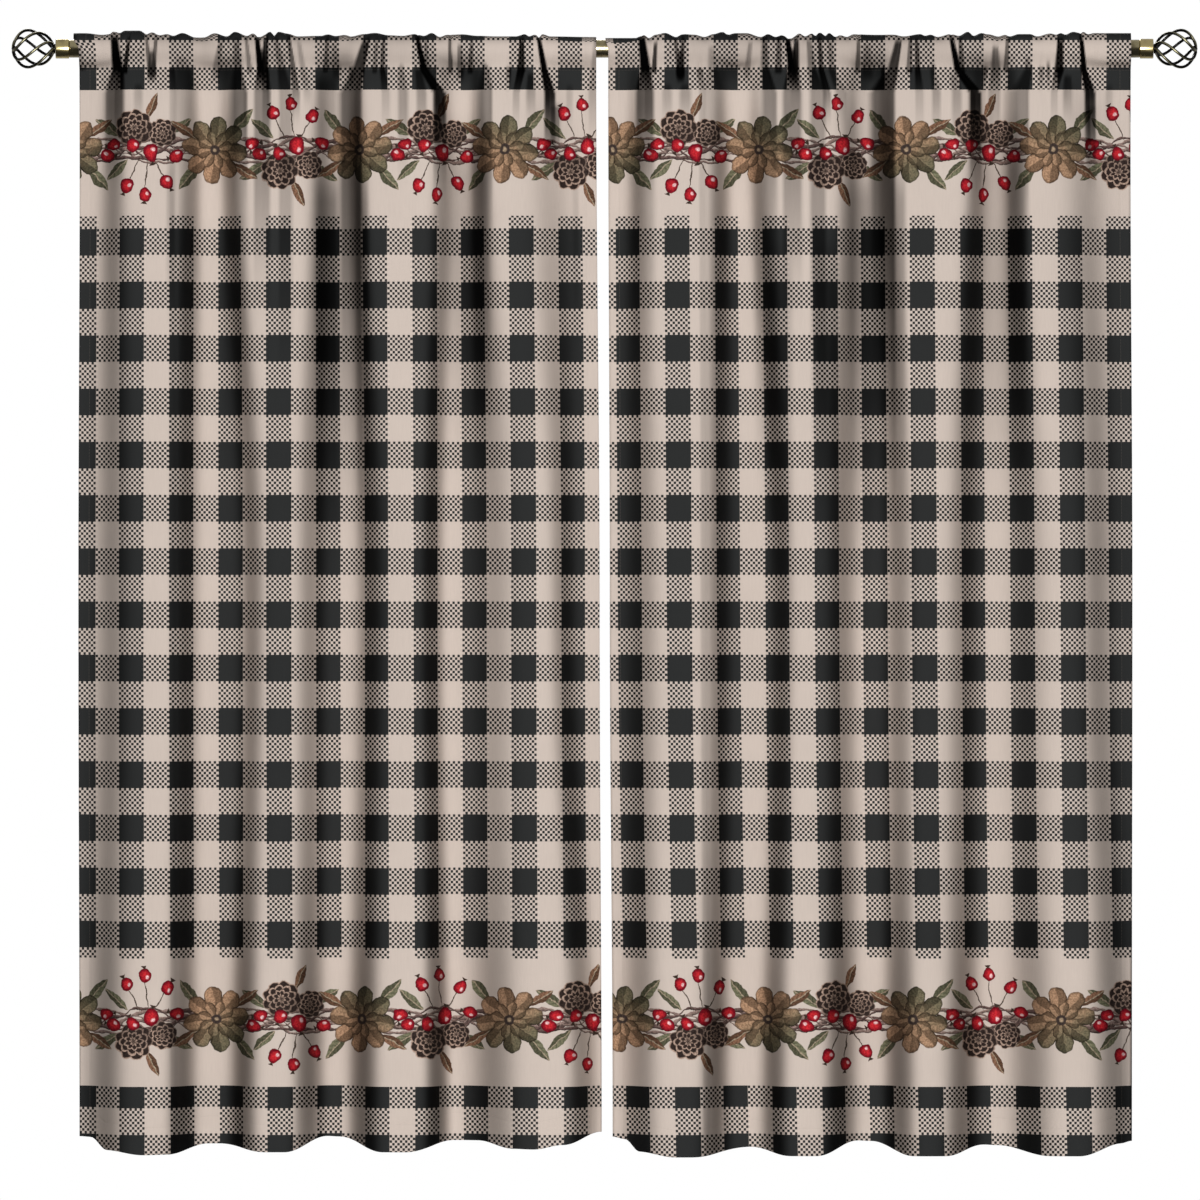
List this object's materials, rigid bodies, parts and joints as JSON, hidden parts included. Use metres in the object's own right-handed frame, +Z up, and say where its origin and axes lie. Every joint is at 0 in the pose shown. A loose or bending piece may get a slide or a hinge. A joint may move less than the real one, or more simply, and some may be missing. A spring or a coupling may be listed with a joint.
{
  "type": "cafe curtain pair on a curtain rod",
  "caption": "Gathered rod-pocket cafe curtain panels in buffalo check with a berry garland band, hung on a brass rod with twisted wire finials.",
  "frame": {"origin": "the middle of the rod's axis", "axes": "+X along the rod, from the left finial to the right one as seen from the room; +Y from the room side to the window side; +Z up"},
  "size_m": [1.0556, 0.073, 1.0036],
  "materials": {
    "printed_cloth": "matt printed polyester, tan and black",
    "antique_brass": "polished, lightly antiqued",
    "dark_bronze": "dark bronze on wire, satin"
  },
  "bodies": {
    "root": {"panel_left": "printed_cloth", "panel_right": "printed_cloth", "rod": "antique_brass", "collar_left": "antique_brass", "collar_right": "antique_brass", "finial_left": "dark_bronze", "finial_right": "dark_bronze"}
  },
  "joints": []
}
